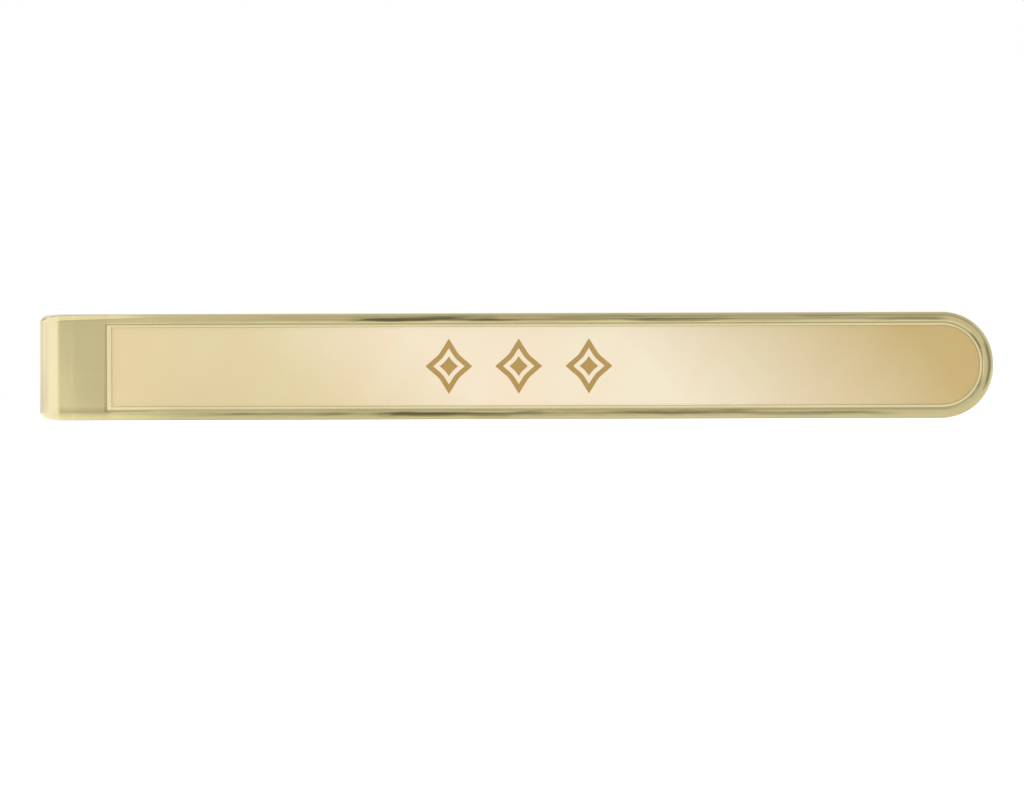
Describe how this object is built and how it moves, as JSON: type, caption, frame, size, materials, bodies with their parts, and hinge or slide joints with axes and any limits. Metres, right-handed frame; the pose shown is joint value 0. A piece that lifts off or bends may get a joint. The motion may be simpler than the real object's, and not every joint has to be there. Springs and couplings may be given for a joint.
{
  "type": "tie clip",
  "caption": "Gold-toned tie clip: rimmed front bar with a let-in face plate, folded back at one end, and a sprung toothed jaw hinged behind it.",
  "frame": {"origin": "middle of the bounding box's bottom face: the clip stands on its lower long edge", "axes": "+X along the bar from the folded end to the rounded end, -Y out of the engraving face, +Z across the bar's width, upwards as worn"},
  "size_m": [0.0572, 0.011, 0.0063],
  "materials": {
    "frame_gold": "polished pale gold plating",
    "plate_gold": "satin brushed gold plating",
    "clasp_gold": "plated, as stamped",
    "spring_steel": "bright drawn wire"
  },
  "bodies": {
    "bar": {"front_bar": "frame_gold", "face_plate": "plate_gold", "hinge_bracket": "clasp_gold", "hinge_pin": "clasp_gold", "torsion_spring": "spring_steel"},
    "jaw": {"jaw_arm": "clasp_gold"}
  },
  "joints": [
    {"name": "jaw_hinge", "type": "hinge", "parent": "bar", "child": "jaw", "pos_m": [-0.01937, 0.00248, 0.00317], "axis": [0, 0, 1], "range_deg": [0, 30], "stiffness_Nm_per_rad": 0.0085, "springref_deg": -103.13, "deforming": ["torsion_spring"]}
  ]
}
